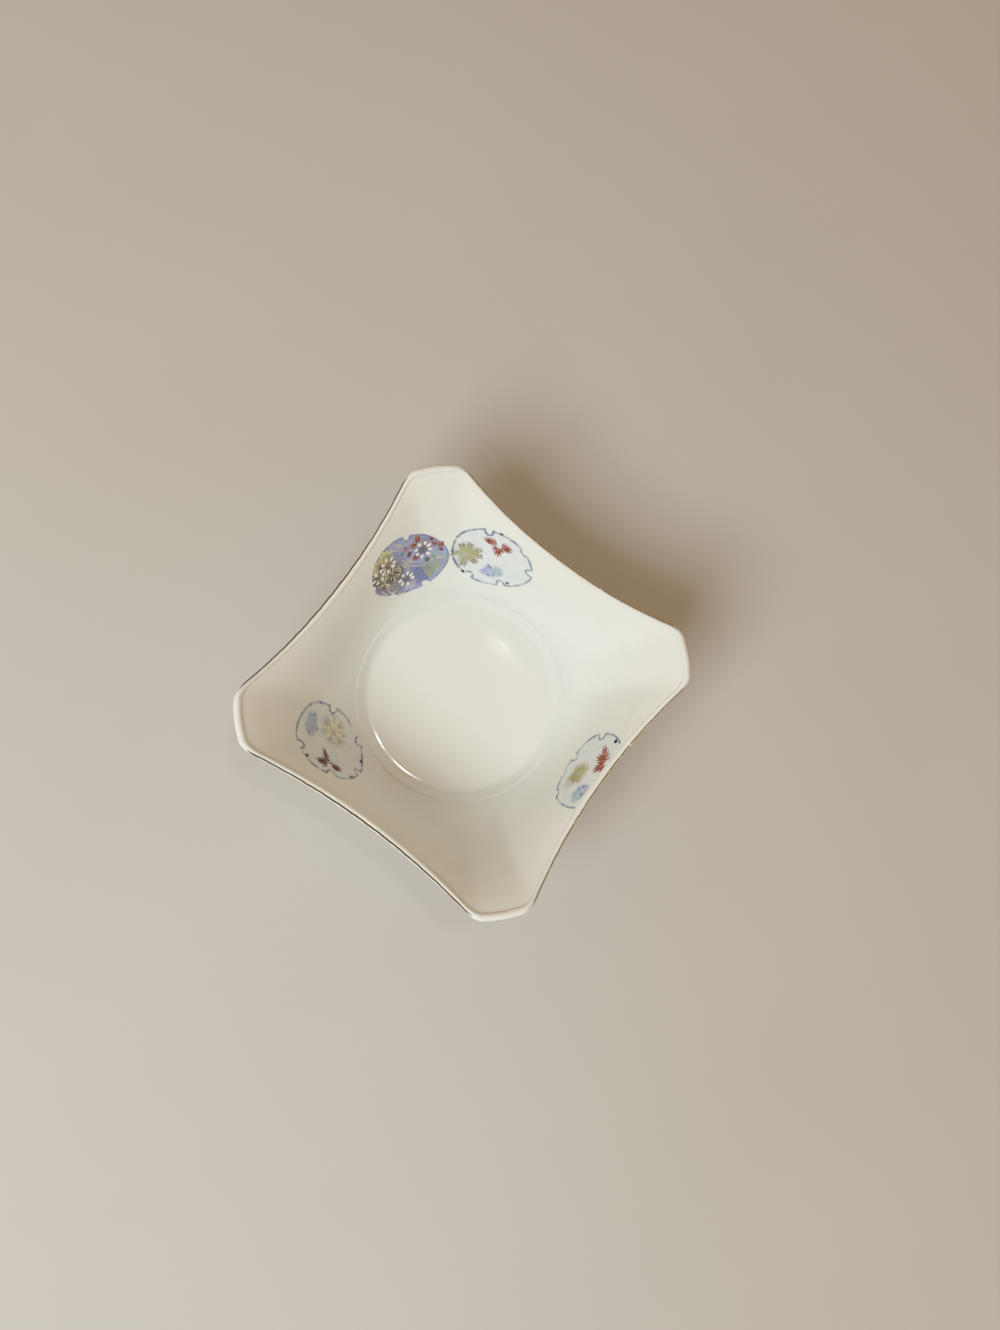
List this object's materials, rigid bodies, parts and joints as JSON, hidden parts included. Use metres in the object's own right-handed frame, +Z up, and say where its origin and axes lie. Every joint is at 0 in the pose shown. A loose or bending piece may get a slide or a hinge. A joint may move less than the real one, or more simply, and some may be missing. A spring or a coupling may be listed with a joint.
{
  "type": "porcelain dish",
  "caption": "Small square porcelain bowl with cut, upturned corners, a round well, a foot ring, a gold line on each rim and enamelled roundels inside.",
  "frame": {"origin": "centre of the foot ring's resting face, on the surface the dish stands on", "axes": "+Z up along the dish's axis; +X and +Y through the middles of two sides, so the corners lie on the diagonals"},
  "size_m": [0.098, 0.098, 0.047],
  "materials": {
    "porcelain": "clear glossy glaze, faintly blue-white",
    "foot": "glazed sides, unglazed satin resting face",
    "rim_gold": "thin worn overglaze gold",
    "snow_roundel": "pale cobalt wash under a glossy glaze",
    "cobalt_roundel": "cobalt wash under a glossy glaze",
    "blue_wash": "soft underglaze cobalt",
    "gold_enamel": "overglaze gold enamel, satin",
    "red_enamel": "iron-red overglaze enamel, satin gloss",
    "white_enamel": "raised white overglaze enamel"
  },
  "bodies": {
    "root": {"bowl_body": "porcelain", "foot_ring": "foot", "rim_gold_line_east": "rim_gold", "rim_gold_line_north": "rim_gold", "rim_gold_line_west": "rim_gold", "rim_gold_line_south": "rim_gold", "snow_roundel_north": "snow_roundel", "gold_pine_north": "gold_enamel", "red_pine_north": "red_enamel", "blue_plum_north": "blue_wash", "snow_roundel_south": "snow_roundel", "gold_pine_south": "gold_enamel", "red_pine_south": "red_enamel", "blue_plum_south": "blue_wash", "snow_roundel_east": "snow_roundel", "gold_pine_east": "gold_enamel", "red_pine_east": "red_enamel", "blue_plum_east": "blue_wash", "blossom_roundel": "cobalt_roundel", "cherry_blossom_1": "white_enamel", "cherry_blossom_2": "white_enamel", "cherry_blossom_3": "white_enamel", "red_leaves": "red_enamel", "gold_spray": "gold_enamel", "gold_fan": "gold_enamel"}
  },
  "joints": []
}
